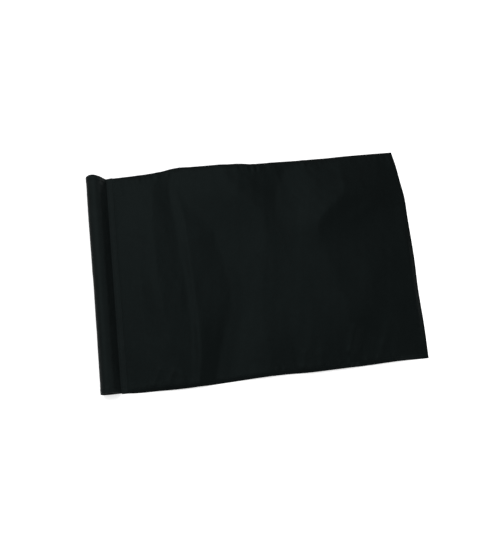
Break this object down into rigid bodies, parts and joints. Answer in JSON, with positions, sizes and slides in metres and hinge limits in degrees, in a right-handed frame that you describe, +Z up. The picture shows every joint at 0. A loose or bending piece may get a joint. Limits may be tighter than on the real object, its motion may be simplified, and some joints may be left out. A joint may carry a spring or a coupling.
{
  "type": "sleeved flag",
  "caption": "Plain cloth flag with a sewn hoist sleeve and a rigid tube insert that slides over a thin pole, lying flat.",
  "frame": {"origin": "on the tube's axis, half way along the tube", "axes": "+Y along the tube towards the flag's top edge, +X across the flag towards its fly edge, +Z up from the surface that the flag lies on"},
  "size_m": [0.508, 0.3556, 0.0238],
  "materials": {
    "black_nylon": "plain weave, dull with a faint sheen",
    "sewing_thread": "twisted thread, slightly lustrous",
    "tube_plastic": "extruded, matte"
  },
  "bodies": {
    "sleeve": {"pole_sleeve": "black_nylon", "sleeve_seam_inner_needle_thread": "sewing_thread", "sleeve_seam_outer_needle_thread": "sewing_thread", "sleeve_seam_inner_bobbin_thread": "sewing_thread", "sleeve_seam_outer_bobbin_thread": "sewing_thread", "sleeve_top_end_thread": "sewing_thread", "sleeve_bottom_end_thread": "sewing_thread"},
    "tube": {"tube_insert": "tube_plastic"},
    "panel": {"flag_panel": "black_nylon", "top_hem_needle_thread": "sewing_thread", "top_hem_bobbin_thread": "sewing_thread", "bottom_hem_needle_thread": "sewing_thread", "bottom_hem_bobbin_thread": "sewing_thread", "fly_hem_inner_needle_thread": "sewing_thread", "fly_hem_inner_bobbin_thread": "sewing_thread", "fly_hem_outer_needle_thread": "sewing_thread", "fly_hem_outer_bobbin_thread": "sewing_thread"}
  },
  "joints": [
    {"name": "tube_slide", "type": "slide", "parent": "sleeve", "child": "tube", "axis": [0, 1, 0], "range_m": [-0.36, 0.36]},
    {"name": "panel_fold", "type": "hinge", "parent": "sleeve", "child": "panel", "pos_m": [0.02815, 0, -0.0109], "axis": [0, -1, 0], "range_deg": [0, 120]}
  ]
}
